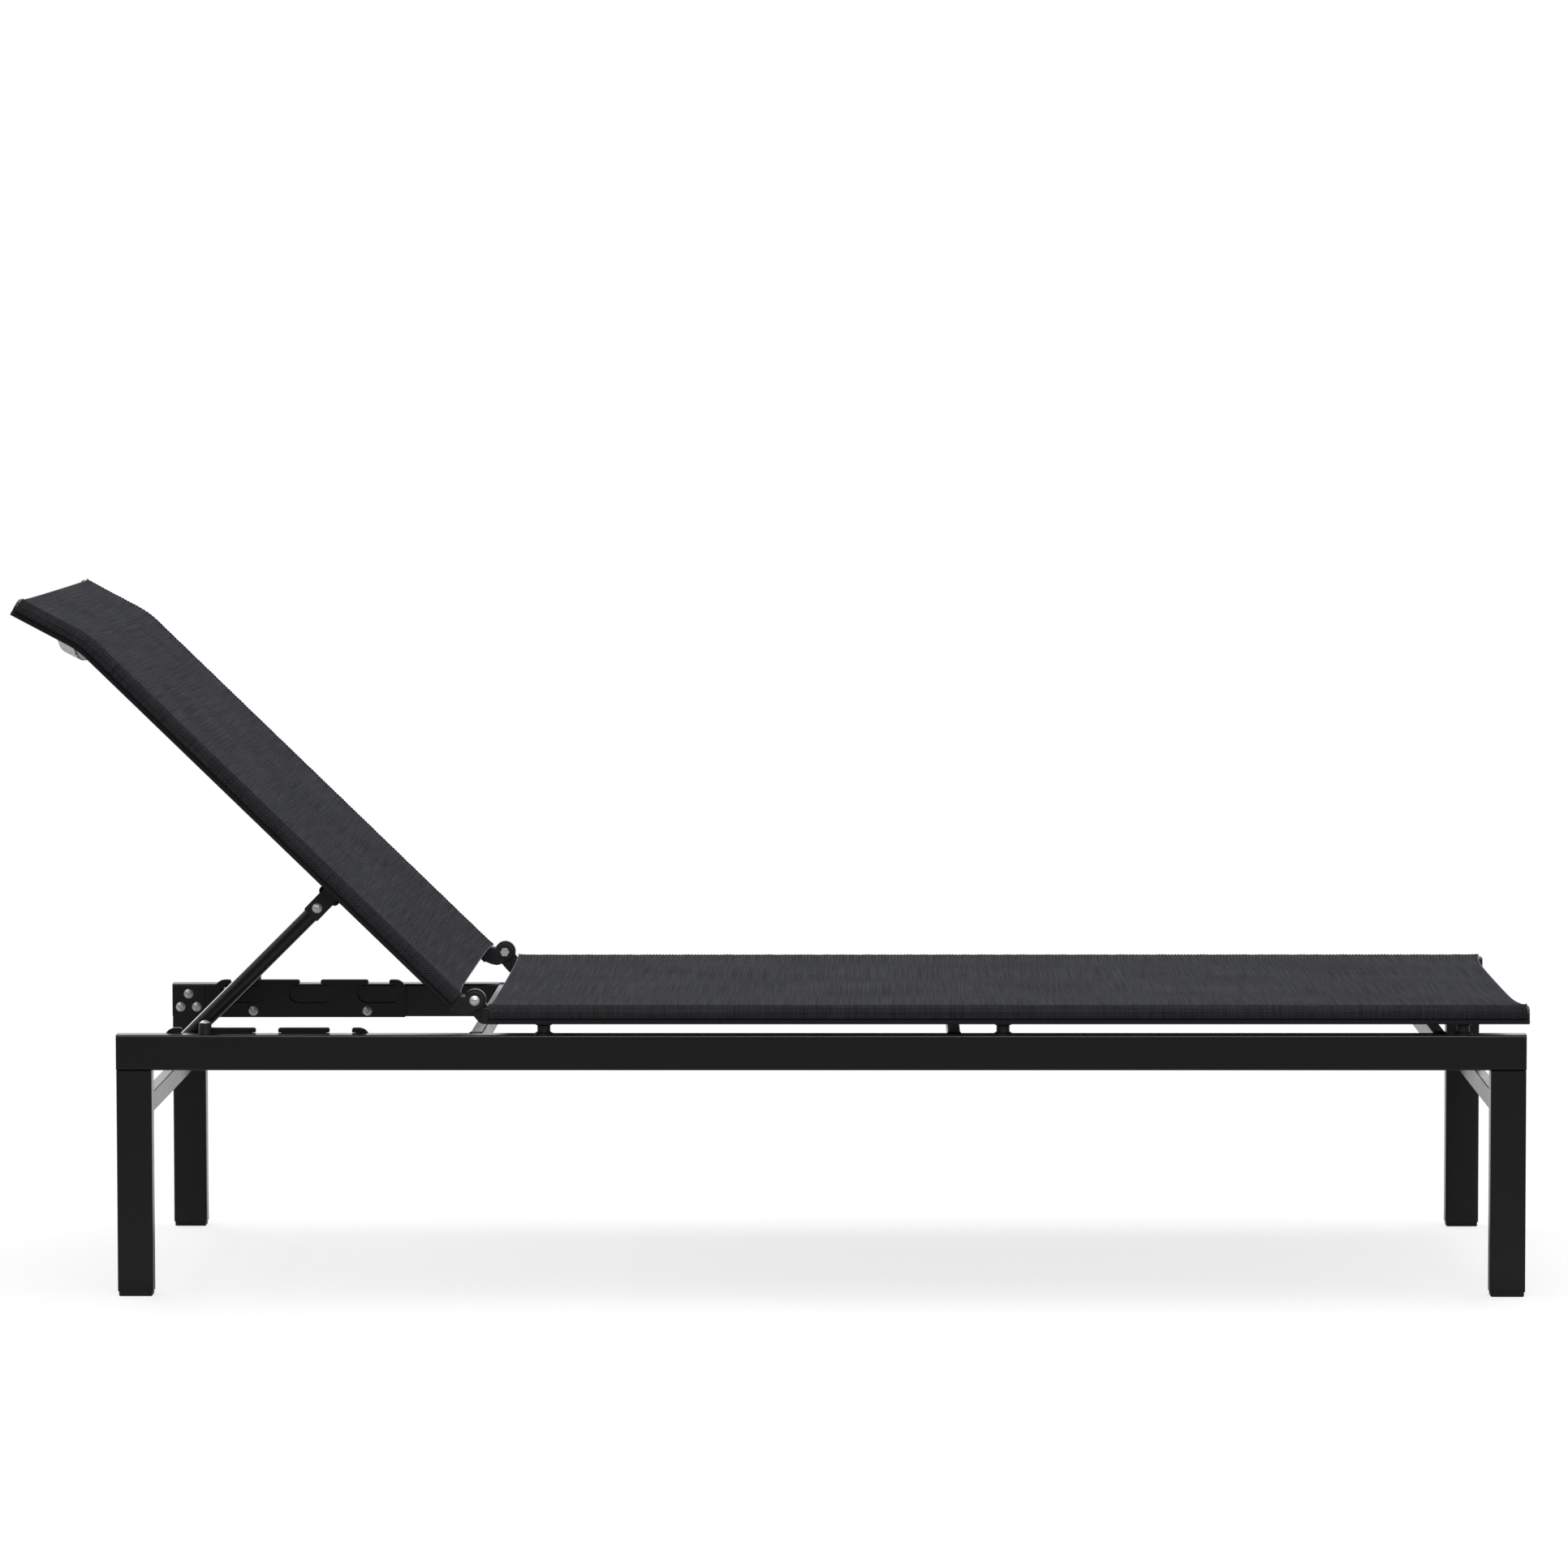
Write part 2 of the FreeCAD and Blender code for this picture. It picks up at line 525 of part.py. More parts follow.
def sling_section(x):
    """Fabric from one keder slot over both extrusions to the other slot."""
    under = -HINGE_RISE + EXT_HEIGHT + SLING_CLEARANCE
    over = under + SLING_THICK
    pivot_o, pivot_z = FABRIC_SEAT - EXT_SHOULDER, -HINGE_RISE + EXT_HEIGHT - EXT_SHOULDER
    inner, outer = FABRIC_SEAT + SLING_CLEARANCE, FABRIC_SEAT + SLING_CLEARANCE + SLING_THICK
    r0, r1 = inner - pivot_o, outer - pivot_o
    slot_middle = -HINGE_RISE + STRIP_HEIGHT + SLOT_GAP / 2
    tail_low, tail_high = slot_middle - SLING_THICK / 2, slot_middle + SLING_THICK / 2
    tail = FABRIC_SEAT - TAIL_REACH
    halves = []
    for side in SIDES.values():
        def p(outward, z):
            return section_point(side, x, outward, z)

        edges = [
            line(p(0, over), p(pivot_o, over)),
            section_arc(side, x, (pivot_o, pivot_z), r1, 90, 0),
            line(p(outer, pivot_z), p(outer, tail_low)),
            line(p(outer, tail_low), p(tail, tail_low)),
            line(p(tail, tail_low), p(tail, tail_high)),
            line(p(tail, tail_high), p(inner, tail_high)),
            line(p(inner, tail_high), p(inner, pivot_z)),
            section_arc(side, x, (pivot_o, pivot_z), r0, 0, 90),
            line(p(pivot_o, under), p(0, under)),
            line(p(0, under), p(0, over)),
        ]
        halves.append(Part.Face(Part.Wire(edges)))
    return halves


# ---- seat ----
SEAT_START = HINGE_TO_EXT
SEAT_END = FRAME_LENGTH - HINGE_X


def to_hinge(shape):
    """Moves a piece that was modelled from the hinge axis to its place in the frame."""
    return moved(shape, HINGE_X, 0, HINGE_Z)


def seat_run(section, start, end):
    return to_hinge(section.extrude(Vector(end - start, 0, 0)))


def seat_extrusion(side):
    rail = seat_run(extrusion_section(side, SEAT_START), SEAT_START, SEAT_END)
    y = side * RAIL_MIDDLE
    return rail.cut([rod_z(SCREW_HOLE, x, y, EXT_BOTTOM, EXT_BOTTOM + EXT_WALL) for x in SPACER_XS])


def fuse_all(solids):
    return solids[0].fuse(solids[1:]).removeSplitter()


def seat_sling():
    start, end = SEAT_START + SLING_INSET, SEAT_END - SLING_INSET / 2
    return fuse_all([seat_run(half, start, end) for half in sling_section(start)])


def end_cap(side, x, outward):
    """Cap on an extrusion's end at x, facing along outward * X, with its plug."""
    plate = extrusion_outline(side, x).extrude(Vector(outward * END_CAP, 0, 0))
    rim = [edge for edge in plate.Edges if abs(edge.BoundBox.Center.x - x - outward * END_CAP) < END_CAP / 50]
    plate = plate.makeFillet(EXT_CORNER, rim)
    plug = cavity(side, x, PLUG_CLEARANCE).extrude(Vector(-outward * PLUG_DEPTH, 0, 0))
    return plate.fuse(plug)


# ---- hinge knuckles: modelled at the hinge axis, each reaching along way * X to its extrusion ----
def knuckle(side, way, lug_radius, lug_spans, front, other_radius, other_spans):
    """Cast end piece: plug and body in line with the extrusion, and lugs that rise to the hinge axis."""
    low, face, shoulder = -HINGE_RISE, HINGE_TO_EXT, -KNUCKLE_SHOULDER
    angle, radius = math.radians(-WEB_ANGLE), WEB_REACH * lug_radius
    web_back = (radius * math.cos(angle), radius * math.sin(angle))
    outline = [(face, low), (face, shoulder), web_back, (0, 0)] + list(front) + [(face, low)]
    web = Part.Face(Part.makePolygon([Vector(way * s, 0, z) for s, z in outline]))
    o0, o1 = EXT_INSIDE + KNUCKLE_INSET, FABRIC_SEAT - KNUCKLE_INSET
    body = box(way * KNUCKLE_BLOCK, way * face, side * o0, side * o1, low, shoulder)
    pieces = [cavity(side, way * face, PLUG_CLEARANCE).extrude(Vector(way * KNUCKLE_PLUG, 0, 0))]
    for a, b in lug_spans:
        pieces.append(moved(web, y=side * a).extrude(Vector(0, side * (b - a), 0)))
        pieces.append(rod_y(lug_radius, 0, 0, side * a, side * b))
    casting = body.fuse(pieces)
    clear = other_radius + LUG_CLEARANCE
    room = [rod_y(clear, 0, 0, side * (a - LUG_GAP), side * (b + LUG_GAP)) for a, b in other_spans]
    bore = rod_y(SCREW_RADIUS + RUNNING_CLEARANCE, 0, 0, side * o0, side * o1)
    return casting.cut(room + [bore]).removeSplitter()


def lug_spans():
    """Spans across the frame of the seat's lug and of the backrest's two lugs."""
    half = SEAT_LUG_THICK / 2
    inner, outer = half + LUG_GAP, half + LUG_GAP + BACK_LUG_THICK
    seat = [(RAIL_MIDDLE - half, RAIL_MIDDLE + half)]
    back = [(RAIL_MIDDLE - outer, RAIL_MIDDLE - inner), (RAIL_MIDDLE + inner, RAIL_MIDDLE + outer)]
    return seat, back


def seat_knuckle(side):
    seat, back = lug_spans()
    return to_hinge(knuckle(side, 1, SEAT_LUG_RADIUS, seat, SEAT_NOSE, BACK_LUG_RADIUS, back))


def hinge_bolts():
    _, back = lug_spans()
    reach = back[1][1] - back[0][0] + 2 * RUNNING_CLEARANCE + NUT_HEIGHT
    face = back[1][1] + RUNNING_CLEARANCE
    return group([screw_facing(side, HINGE_X, side * face, HINGE_Z, reach) for side in SIDES.values()])


def hinge_nuts():
    face = lug_spans()[1][0][0] - RUNNING_CLEARANCE
    return group([nut_y(-side, HINGE_X, side * face, HINGE_Z) for side in SIDES.values()])


# ---- backrest: modelled flat, from the hinge axis along -X, then raised ----
BEND_CENTRE = Vector(-BEND_START, 0, -HINGE_RISE - BEND_RADIUS)


def raised(shape):
    return to_hinge(turned(shape, Vector(), Y_AXIS, BACKREST_ANGLE))


def to_head(shape):
    """Carries a piece modelled on the straight run round the bend to the head part."""
    return turned(shape, BEND_CENTRE, Y_AXIS, -HEAD_ANGLE)


def backrest_run(section, start, head_run=HEAD_RUN):
    """Section carried along the straight run, the bend and the head part."""
    straight = section.extrude(Vector(start - BEND_START, 0, 0))
    at_bend = moved(section, x=start - BEND_START)
    bend = at_bend.revolve(BEND_CENTRE, Y_AXIS, -HEAD_ANGLE)
    head = to_head(at_bend.extrude(Vector(-head_run, 0, 0)))
    return straight.fuse([bend, head]).removeSplitter()


def backrest_extrusion(side):
    return raised(backrest_run(extrusion_section(side, -HINGE_TO_EXT), HINGE_TO_EXT))


def backrest_keder(side):
    start = HINGE_TO_EXT + SLING_INSET
    return raised(backrest_run(keder_section(side, -start), start, HEAD_RUN - SLING_INSET))


def backrest_sling():
    start = HINGE_TO_EXT + SLING_INSET
    halves = [backrest_run(half, start, HEAD_RUN - SLING_INSET / 2) for half in sling_section(-start)]
    return raised(fuse_all(halves))


def backrest_end_cap(side):
    return raised(to_head(end_cap(side, -BEND_START - HEAD_RUN, -1)))


def backrest_knuckle(side):
    seat, back = lug_spans()
    return raised(knuckle(side, -1, BACK_LUG_RADIUS, back, BACK_BELLY, SEAT_LUG_RADIUS, seat))


def flat_section(x, z, width, thick, corner):
    """Rounded rectangle across X and Z, in the plane y = 0."""
    block = box(x - width / 2, x + width / 2, 0, 1, z - thick / 2, z + thick / 2)
    block = rounded(block, Y_AXIS, corner)
    return [face for face in block.Faces if face.BoundBox.YMax < 0.5][0]


def headrest_bar():
    """Flat tube between the extrusions' inner faces, bowed away from the sling."""
    x = -BEND_START - (HEAD_BAR_PLACE - BEND_TANGENT)
    low = -HINGE_RISE + HEAD_BAR_RISE - HEAD_BAR_BOW
    radius = (EXT_INSIDE ** 2 + HEAD_BAR_BOW ** 2) / (2 * HEAD_BAR_BOW)
    centre = Vector(x, 0, low + radius)
    turn = math.degrees(math.asin(EXT_INSIDE / (radius - HEAD_BAR_THICK))) + 1
    tubes = []
    for shrink in (0, TUBE_WALL):
        width, thick = HEAD_BAR_WIDTH - 2 * shrink, HEAD_BAR_THICK - 2 * shrink
        face = flat_section(x, low + HEAD_BAR_THICK / 2, width, thick, HEAD_BAR_CORNER - shrink)
        tubes.append(turned(face, centre, Vector(1, 0, 0), -turn).revolve(centre, Vector(1, 0, 0), 2 * turn))
    top = -HINGE_RISE + EXT_HEIGHT
    between = box(x - HEAD_BAR_WIDTH, x + HEAD_BAR_WIDTH, -EXT_INSIDE, EXT_INSIDE, low - 1, top)
    return raised(to_head(tubes[0].cut(tubes[1]).common(between)))


def prop_crossbar():
    """Flat oval tube between the prop brackets."""
    z = BAR_UNDERSIDE + PROP_BAR_HEIGHT / 2
    half = EAR_FACE
    tubes = []
    for shrink in (0, TUBE_WALL):
        thick = PROP_BAR_HEIGHT - 2 * shrink
        face = flat_section(-PIVOT_ALONG, z, PROP_BAR_WIDTH - 2 * shrink, thick, thick * 0.47)
        tubes.append(moved(face, y=-half).extrude(Vector(0, 2 * half, 0)))
    return raised(tubes[0].cut(tubes[1]))


def prop_bracket(side):
    """Strap bracket: flange under the extrusion, outer ear, web under the crossbar and inner ear."""
    x0, x1 = -PIVOT_ALONG - EAR_WIDTH / 2, -PIVOT_ALONG + EAR_WIDTH / 2
    low = -PIVOT_BELOW - EAR_BELOW
    out0, out1 = EAR_FACE, EAR_FACE + EAR_THICK
    in1 = ARM_Y - PROP_RADIUS - EAR_GAP
    in0 = in1 - EAR_THICK
    outer = box(x0, x1, side * out0, side * out1, low, -HINGE_RISE)
    inner = box(x0, x1, side * in0, side * in1, low, BAR_UNDERSIDE)
    ears = []
    for ear in (outer, inner):
        corners = [edge for edge in edges_along(ear, Y_AXIS) if edge.BoundBox.ZMax < low + EAR_CORNER]
        ears.append(ear.makeFillet(EAR_CORNER, corners))
    web = box(x0, x1, side * in0, side * out1, BAR_UNDERSIDE - EAR_THICK, BAR_UNDERSIDE)
    flange = box(x0, x1, side * out0, side * (out1 + FLANGE_REACH), -HINGE_RISE - EAR_THICK, -HINGE_RISE)
    bore = rod_y(SCREW_HOLE, -PIVOT_ALONG, -PIVOT_BELOW, side * in0, side * out1)
    return raised(ears[0].fuse([ears[1], web, flange]).cut(bore).removeSplitter())


def pivot_bolts():
    reach = EAR_FACE + EAR_THICK - (ARM_Y - PROP_RADIUS - EAR_GAP - EAR_THICK) + NUT_HEIGHT
    face = EAR_FACE + EAR_THICK
    bolts = [screw_facing(side, -PIVOT_ALONG, side * face, -PIVOT_BELOW, reach) for side in SIDES.values()]
    return raised(group(bolts))


def pivot_nuts():
    face = ARM_Y - PROP_RADIUS - EAR_GAP - EAR_THICK
    return raised(group([nut_y(-side, -PIVOT_ALONG, side * face, -PIVOT_BELOW) for side in SIDES.values()]))


# ---- prop: two arms and a cross rod, modelled where it stands ----
def pivot_point():
    angle = math.radians(BACKREST_ANGLE)
    x = -PIVOT_ALONG * math.cos(angle) - PIVOT_BELOW * math.sin(angle)
    z = PIVOT_ALONG * math.sin(angle) - PIVOT_BELOW * math.cos(angle)
    return HINGE + Vector(x, 0, z)


def rod_point():
    return Vector(slot_xs()[0] + ROD_IN_SLOT, 0, SLOT_TOP - SLOT_HEIGHT + PROP_RADIUS + ROD_LIFT)


def prop_arm(side):
    """Round tube with a closed round end at the pivot, coped to the rod at the other end."""
    pivot, foot = pivot_point(), rod_point()
    offset = Vector(0, side * ARM_Y, 0)
    along = foot - pivot
    solids = []
    for radius in (PROP_RADIUS, PROP_RADIUS - PROP_WALL):
        tube = Part.makeCylinder(radius, along.Length, pivot + offset, along)
        solids.append(tube.fuse(Part.makeSphere(radius, pivot + offset)))
    arm = solids[0].cut(solids[1])
    cope = rod_y(PROP_RADIUS + WELD_GAP, foot.x, foot.z, -HALF_WIDTH, HALF_WIDTH)
    bore = rod_y(SCREW_RADIUS + RUNNING_CLEARANCE, pivot.x, pivot.z, -HALF_WIDTH, HALF_WIDTH)
    return arm.cut([cope, bore])


def prop_rod():
    foot = rod_point()
    half = RACK_FACE - ROD_SIDE_GAP - ROD_PLUG
    tube = rod_y(PROP_RADIUS, foot.x, foot.z, -half, half)
    return tube.cut(rod_y(PROP_RADIUS - PROP_WALL, foot.x, foot.z, -half, half))


def prop_rod_plugs():
    foot = rod_point()
    start, end = RACK_FACE - ROD_SIDE_GAP - ROD_PLUG, RACK_FACE - ROD_SIDE_GAP
    plugs = []
    for side in SIDES.values():
        lid = rod_y(PROP_RADIUS, foot.x, foot.z, side * start, side * end)
        rim = [edge for edge in lid.Edges if abs(abs(edge.BoundBox.Center.y) - end) < ROD_PLUG / 50]
        radius = PROP_RADIUS - PROP_WALL - PLUG_CLEARANCE
        stem = rod_y(radius, foot.x, foot.z, side * (start - PLUG_DEPTH), side * start)
        plugs.append(lid.makeFillet(ROD_PLUG * ROD_PLUG_ROUND, rim).fuse(stem))
    return group(plugs)


def prop_stops():
    """Backrest angles at which the rod lies in each slot."""
    reach = (rod_point() - pivot_point()).Length
    arm = math.hypot(PIVOT_ALONG, PIVOT_BELOW)
    angles = []
    for x in slot_xs():
        foot = rod_point() + Vector(x - slot_xs()[0], 0, 0)
        span = (HINGE - foot).Length
        at_hinge = math.acos((arm ** 2 + span ** 2 - reach ** 2) / (2 * arm * span))
        dip = math.atan2(HINGE.z - foot.z, HINGE.x - foot.x)
        angles.append(math.degrees(at_hinge - dip + math.atan2(PIVOT_BELOW, PIVOT_ALONG)))
    return angles


# ---- all sub-parts ----
def build():
    for name, side in SIDES.items():
        shapes["side_rail_" + name] = side_rail(side)
        shapes["rack_" + name] = rack(side)
        shapes["bumper_" + name] = bumper(side)
        shapes["seat_extrusion_" + name] = seat_extrusion(side)
        start = SEAT_START + SLING_INSET
        shapes["seat_keder_" + name] = seat_run(keder_section(side, start), start, SEAT_END - SLING_INSET)
        shapes["seat_knuckle_" + name] = seat_knuckle(side)
        shapes["seat_end_cap_" + name] = to_hinge(end_cap(side, SEAT_END, 1))
        shapes["backrest_extrusion_" + name] = backrest_extrusion(side)
        shapes["backrest_keder_" + name] = backrest_keder(side)
        shapes["backrest_knuckle_" + name] = backrest_knuckle(side)
        shapes["backrest_end_cap_" + name] = backrest_end_cap(side)
        shapes["prop_bracket_" + name] = prop_bracket(side)
        shapes["prop_arm_" + name] = prop_arm(side)
        for end in ("head", "foot"):
            place = end + "_" + name
            shapes["leg_" + place] = leg(end, side)
            shapes["glide_" + place] = glide(end, side)
            shapes["corner_bracket_" + place] = corner_bracket(end, side)
    for end in ("head", "foot"):
        shapes["stretcher_" + end] = cross_tube(leg_start(end) + LEG_DEPTH / 2, BRACKET_FACE, STRETCHER_TOP)
    for name, x in (("hinge", HINGE_X), ("middle", MIDDLE_BAR_X), ("foot", FOOT_BAR_X)):
        shapes["crossbar_" + name] = cross_tube(x, RAIL_INSIDE, RAIL_TOP)
    shapes["rail_end_caps"] = rail_end_caps()
    shapes["bracket_screws"] = inner_screws(bracket_screw_places(), BRACKET_FACE, BRACKET_THICK)
    shapes["rack_screws"] = inner_screws(rack_screw_places(), RACK_FACE, RACK_THICK)
    shapes["bumper_screws"] = bumper_screws()
    shapes["seat_spacers"] = seat_spacers()
    shapes["spacer_bolts"] = spacer_bolts()
    shapes["seat_sling"] = seat_sling()
    shapes["hinge_bolts"] = hinge_bolts()
    shapes["hinge_nuts"] = hinge_nuts()
    shapes["backrest_sling"] = backrest_sling()
    shapes["headrest_bar"] = headrest_bar()
    shapes["prop_crossbar"] = prop_crossbar()
    shapes["pivot_bolts"] = pivot_bolts()
    shapes["pivot_nuts"] = pivot_nuts()
    shapes["prop_rod"] = prop_rod()
    shapes["prop_rod_plugs"] = prop_rod_plugs()


def export():
    """Writes one STEP file per node, with the origin under the middle of the overall box."""
    os.makedirs("parts", exist_ok=True)
    overall = group(list(shapes.values())).optimalBoundingBox(False, False)
    shift = -(overall.XMin + overall.XMax) / 2
    for name, shape in shapes.items():
        moved(shape, x=shift).exportStep("parts/" + name + ".step")
    size = (overall.XLength, overall.YLength, overall.ZLength)
    print("nodes", len(shapes), "box", [round(v, 1) for v in size])
    print("shift", round(shift, 3), "overall z", round(overall.ZMin, 4), round(overall.ZMax, 3))
    for label, point in (("hinge", HINGE), ("pivot", pivot_point()), ("rod", rod_point())):
        print(label, round(point.x + shift, 3), round(point.z, 3))
    print("slot stops, degrees from flat", [round(angle, 2) for angle in prop_stops()])
    print("slot middles x", [round(x + shift, 2) for x in slot_xs()], "z", SLOT_MIDDLE_Z, "lip top", RACK_TOP)


build()
export()
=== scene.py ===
"""Reclining sun lounger: woven slings with bands and stitching, weld beads, materials, studio and camera."""
import json
import math
import random

import bpy
from mathutils import Matrix, Vector


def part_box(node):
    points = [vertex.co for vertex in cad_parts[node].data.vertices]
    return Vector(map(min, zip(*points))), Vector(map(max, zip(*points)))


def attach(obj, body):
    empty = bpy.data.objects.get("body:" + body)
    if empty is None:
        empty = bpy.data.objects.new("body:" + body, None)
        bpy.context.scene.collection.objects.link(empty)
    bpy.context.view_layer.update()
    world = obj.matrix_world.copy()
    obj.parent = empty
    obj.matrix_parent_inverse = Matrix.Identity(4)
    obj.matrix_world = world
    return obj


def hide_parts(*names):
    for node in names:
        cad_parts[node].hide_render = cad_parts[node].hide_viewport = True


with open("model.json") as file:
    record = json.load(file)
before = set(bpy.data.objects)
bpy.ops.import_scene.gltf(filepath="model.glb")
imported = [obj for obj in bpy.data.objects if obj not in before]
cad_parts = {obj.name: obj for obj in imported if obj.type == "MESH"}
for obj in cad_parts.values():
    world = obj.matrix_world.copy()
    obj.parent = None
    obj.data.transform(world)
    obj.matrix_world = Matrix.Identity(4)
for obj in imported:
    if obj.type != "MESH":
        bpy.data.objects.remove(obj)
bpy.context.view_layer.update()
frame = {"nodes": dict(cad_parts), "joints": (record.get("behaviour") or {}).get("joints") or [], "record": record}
nodes = frame["nodes"]
rng = random.Random(11)

MM = 0.001
HINGE = Vector(next(j["pos_m"] for j in frame["joints"] if j["name"] == "backrest_recline"))
REST_ANGLE = math.radians(44.2)       # backrest from flat, at rest

# sling section in mm: outward from the middle plane, and height from the hinge axis
SHOULDER_OUT = 327.6                  # centre of the shoulder that the cloth runs over
SHOULDER_LOW = -17.3
CLOTH_RADIUS = 10.8                   # mid-thickness of the cloth over the shoulder
CLOTH_THICK = 1.0
TAIL_DROP = 4.3                       # straight part below the shoulder, down to the keder slot
TAIL_IN = 2.1                         # tail turned into the slot
SHOULDER_ARC = CLOTH_RADIUS * math.pi / 2
BAND_THICK = 0.6
BAND_OVER = 1.6                       # band's edge past the shoulder's top
SAG = 2.2                             # at mid-width
NECK_REACH = 110.0                    # length over which a free end's pull dies away
NECK_POWER = (9.0, 6.0)               # how square a pulled-in end stays to its right and left corners
NECK_SKEW = 0.15                      # more pull on the right side than on the left
FLARE = 0.8                           # lift of the cloth off the shoulder at its ends
FLARE_REACH = 9.0

# runs along each sling in mm, from the hinge axis, and how far its two ends pull in
SEAT_RUN = (17.2, 1267.7)
SEAT_NECKS = (1.8, 8.6)
BACK_RUN = (17.2, 724.4)
BACK_NECKS = (3.6, 1.2)
BEND_START = 624.3
BEND_ANGLE = math.radians(16.2)
BEND_RADIUS = 90.0                    # at the extrusions' lower face
BEND_CENTRE = -118.1
BEND_ARC = BEND_RADIUS * BEND_ANGLE
BEND_SAG = 3.5                        # extra, where the bend pulls the cloth inward

BEND_SAG_REACH = 48.0
BAND_STEP = 2.1                       # spacing of the points along a band
BAND_RAGGED = 0.55                    # how far its raw edge strays
BAND_FADE = 0.6                       # how much paler the band gets from its edge down to the slot

STITCH_ROWS = (1.0, 12.5)             # from the shoulder's top
STITCH_PITCH = 4.2
STITCH_LENGTH = 3.0
STITCH_RADIUS = 0.33
LOOSE_THREADS = 7                     # at each corner
SEAL_RADIUS = 0.72
SEAL_UNEVEN = 0.08
BEAD_RIPPLE = 0.16                    # share of a weld bead's radius
MEMBER_BEAD = 1.5
PROP_BEAD = 2.1

# weave in metres: half a repeat along the sling and across it
WARP_HALF = 0.0016
WEFT_HALF = 0.00135


# ---- meshes ----
def new_object(name, verts, faces, material, weave=None):
    mesh = bpy.data.meshes.new(name)
    mesh.from_pydata([tuple(v) for v in verts], [], faces)
    mesh.materials.append(material)
    mesh.polygons.foreach_set("use_smooth", [True] * len(mesh.polygons))
    if weave is not None:
        layer = mesh.attributes.new("weave", "FLOAT_VECTOR", "POINT")
        layer.data.foreach_set("vector", [c for w in weave for c in w])
    mesh.update()
    made = bpy.data.objects.new(name, mesh)
    bpy.context.scene.collection.objects.link(made)
    return made


class Tubes:
    """Round threads and beads gathered into one mesh; a radius may vary along a line."""

    def __init__(self):
        self.verts, self.faces = [], []

    def add(self, points, radii, sides=6, closed=False):
        count, first = len(points), len(self.verts)
        for i, point in enumerate(points):
            before = points[i - 1] if i or closed else points[0]
            after = points[(i + 1) % count] if i < count - 1 or closed else points[-1]
            along = (after - before).normalized()
            across = along.cross(Vector((0.31, 0.17, 0.93))).normalized()
            other = along.cross(across)
            radius = radii[i] if isinstance(radii, list) else radii
            for k in range(sides):
                turn = 2 * math.pi * k / sides
                self.verts.append(point + (across * math.cos(turn) + other * math.sin(turn)) * radius)
        for i in range(count if closed else count - 1):
            a, b = first + i * sides, first + (i + 1) % count * sides
            for k in range(sides):
                n = (k + 1) % sides
                self.faces.append((a + k, a + n, b + n, b + k))
        if not closed:
            last = first + (count - 1) * sides
            self.faces.append(tuple(first + k for k in reversed(range(sides))))
            self.faces.append(tuple(last + k for k in range(sides)))

    def make(self, name, material, body):
        made = new_object(name, self.verts, self.faces, material)
        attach(made, body)
        return made


# ---- the slings' surfaces ----
def seat_place(s, out, h):
    return HINGE + Vector((s, out, h)) * MM


def back_place(s, out, h):
    """Point on the backrest: straight run, bend and head part, raised to the rest angle."""
    if s <= BEND_START:
        u, v = s, h
    else:
        turn = min((s - BEND_START) / BEND_RADIUS, BEND_ANGLE)
        rest = max(s - BEND_START - BEND_ARC, 0.0)
        reach = h - BEND_CENTRE
        u = BEND_START + reach * math.sin(turn) + rest * math.cos(turn)
        v = BEND_CENTRE + reach * math.cos(turn) - rest * math.sin(turn)
    x = -u * math.cos(REST_ANGLE) + v * math.sin(REST_ANGLE)
    z = u * math.sin(REST_ANGLE) + v * math.cos(REST_ANGLE)
    return HINGE + Vector((x, out, z)) * MM


def profile(p, lift):
    """(outward, height) at arc length p, out and down from the shoulder's top, and lift off the middle."""
    if p <= 0:
        return SHOULDER_OUT + p, SHOULDER_LOW + CLOTH_RADIUS + lift
    if p <= SHOULDER_ARC:
        turn = p / CLOTH_RADIUS
        reach = CLOTH_RADIUS + lift
        return SHOULDER_OUT + reach * math.sin(turn), SHOULDER_LOW + reach * math.cos(turn)
    down = p - SHOULDER_ARC
    if down <= TAIL_DROP:
        return SHOULDER_OUT + CLOTH_RADIUS + lift, SHOULDER_LOW - down
    return SHOULDER_OUT + CLOTH_RADIUS + lift - (down - TAIL_DROP), SHOULDER_LOW - TAIL_DROP


def cloth_point(place, run, s, side, p, lift=0.0):
    """Point of a sling: sag across the width, ends pulled in between the corners, corners a little lifted."""
    start, end = run
    from_end = min(s - start, end - s)
    loose = math.exp(-from_end / FLARE_REACH)
    wave = 0.22 * math.sin(s / 5.3) * math.sin(s / 17.9 + side) + 0.12 * math.sin(s / 2.9 + 2 * side)
    over_shoulder = math.exp(-((p - 2.0) / 7.0) ** 2)
    out, h = profile(p, lift + (FLARE * loose + wave * 0.6) * over_shoulder)
    if p < 0:
        share = max(out, 0.0) / SHOULDER_OUT
        belly = 1 - share ** 2
        bend, tight = 0.0, 1.0
        if place is back_place:
            bend = BEND_SAG * math.exp(-((s - BEND_START - BEND_ARC / 2) / BEND_SAG_REACH) ** 2)
            tight = 1 - math.exp(-((end - s) / 90.0) ** 2)
        h -= (SAG * tight + bend) * belly
        h += 0.25 * math.sin(s / 61.0 + 1.3 * side * share) * belly
        first = s - start < end - s
        neck = (SEAT_NECKS if place is seat_place else BACK_NECKS)[0 if first else 1]
        pull = neck * (1 - NECK_SKEW * side * share) * (1 - share ** NECK_POWER[side > 0])
        s += pull * max(1 - from_end / NECK_REACH, 0.0) ** 2 * (1 if first else -1)
    return place(s, side * out, h)


def weave_at(s, side, p, layer):
    return s * MM, side * (SHOULDER_OUT + p) * MM, layer


